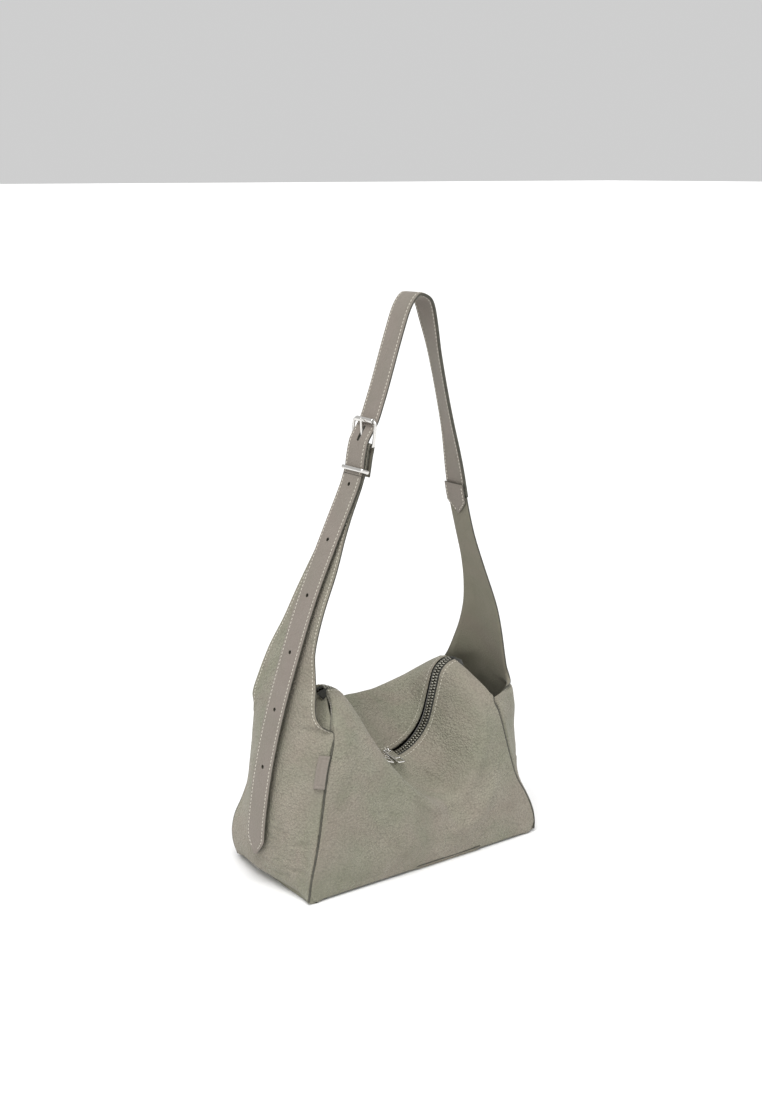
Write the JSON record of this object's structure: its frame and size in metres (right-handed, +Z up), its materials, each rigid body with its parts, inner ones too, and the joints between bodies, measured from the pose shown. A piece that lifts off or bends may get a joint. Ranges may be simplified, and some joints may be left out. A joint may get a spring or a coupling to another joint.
{
  "type": "hobo bag",
  "caption": "Small soft leather hobo bag with a zipped valley top, open end pockets and a buckled shoulder strap.",
  "frame": {"origin": "centre of the base, on the surface the bag stands on", "axes": "+Z up, +X along the bag to its right end as seen from the front, -Y to the front"},
  "size_m": [0.2831, 0.13, 0.4944],
  "materials": {
    "nubuck": "pebbled matte nubuck",
    "strap_leather": "smooth matte leather with painted edges",
    "nickel": "polished nickel plate",
    "zip_tape": "woven tape",
    "lining": "plain woven lining",
    "board": "stiffener board"
  },
  "bodies": {
    "bag_body": {"front_panel": "nubuck", "back_panel": "nubuck", "left_gusset": "nubuck", "right_gusset": "nubuck", "left_inner_gusset": "nubuck", "right_inner_gusset": "nubuck", "base_panel": "nubuck", "base_board": "board", "lining_front": "lining", "lining_back": "lining", "lining_floor": "lining", "zip_teeth_front": "nickel", "zip_teeth_back": "nickel", "zip_tape_front": "zip_tape", "zip_tape_back": "zip_tape", "side_tab": "nubuck"},
    "strap": {"shoulder_strap": "strap_leather", "strap_patch": "strap_leather", "left_wing": "nubuck", "right_wing": "nubuck", "buckle_frame": "nickel"},
    "tail": {"strap_tail": "strap_leather"},
    "roller": {"buckle_roller": "nickel"},
    "prong": {"buckle_prong": "nickel"},
    "keeper": {"strap_keeper": "nickel"},
    "right_slider": {"zip_slider_right": "nickel"},
    "right_puller": {"zip_puller_right": "nickel"},
    "left_slider": {"zip_slider_left": "nickel"},
    "left_puller": {"zip_puller_left": "nickel"}
  },
  "joints": [
    {"name": "strap_swing", "type": "hinge", "parent": "bag_body", "child": "strap", "pos_m": [0, 0, 0.158], "axis": [1, 0, 0], "range_deg": [-75, 75], "deforming": ["left_wing", "right_wing"]},
    {"name": "tail_lift", "type": "hinge", "parent": "strap", "child": "tail", "pos_m": [-0.04, 0, 0.3455], "axis": [0, 1, 0], "range_deg": [0, 55]},
    {"name": "roller_spin", "type": "hinge", "parent": "strap", "child": "roller", "pos_m": [-0.0258, 0, 0.39], "axis": [0, 1, 0], "continuous": true},
    {"name": "prong_lift", "type": "hinge", "parent": "strap", "child": "prong", "pos_m": [-0.0285, 0, 0.3685], "axis": [0, -1, 0], "range_deg": [0, 10]},
    {"name": "keeper_tilt", "type": "hinge", "parent": "strap", "child": "keeper", "pos_m": [-0.0323, 0, 0.3473], "axis": [0, 1, 0], "range_deg": [-4, 4]},
    {"name": "right_slider_travel", "type": "hinge", "parent": "bag_body", "child": "right_slider", "pos_m": [0, 0, 0.13], "axis": [0, -1, 0], "range_deg": [0, 69]},
    {"name": "right_puller_swing", "type": "hinge", "parent": "right_slider", "child": "right_puller", "pos_m": [-0.00331, 0, 0.09054], "axis": [-0.9965, 0, 0.0837], "range_deg": [0, 130]},
    {"name": "left_slider_travel", "type": "hinge", "parent": "bag_body", "child": "left_slider", "pos_m": [0, 0, 0.13], "axis": [0, 1, 0], "range_deg": [0, 44]},
    {"name": "left_puller_swing", "type": "hinge", "parent": "left_slider", "child": "left_puller", "pos_m": [-0.01432, 0, 0.09308], "axis": [-0.9323, 0, 0.3616], "range_deg": [0, 130]}
  ]
}
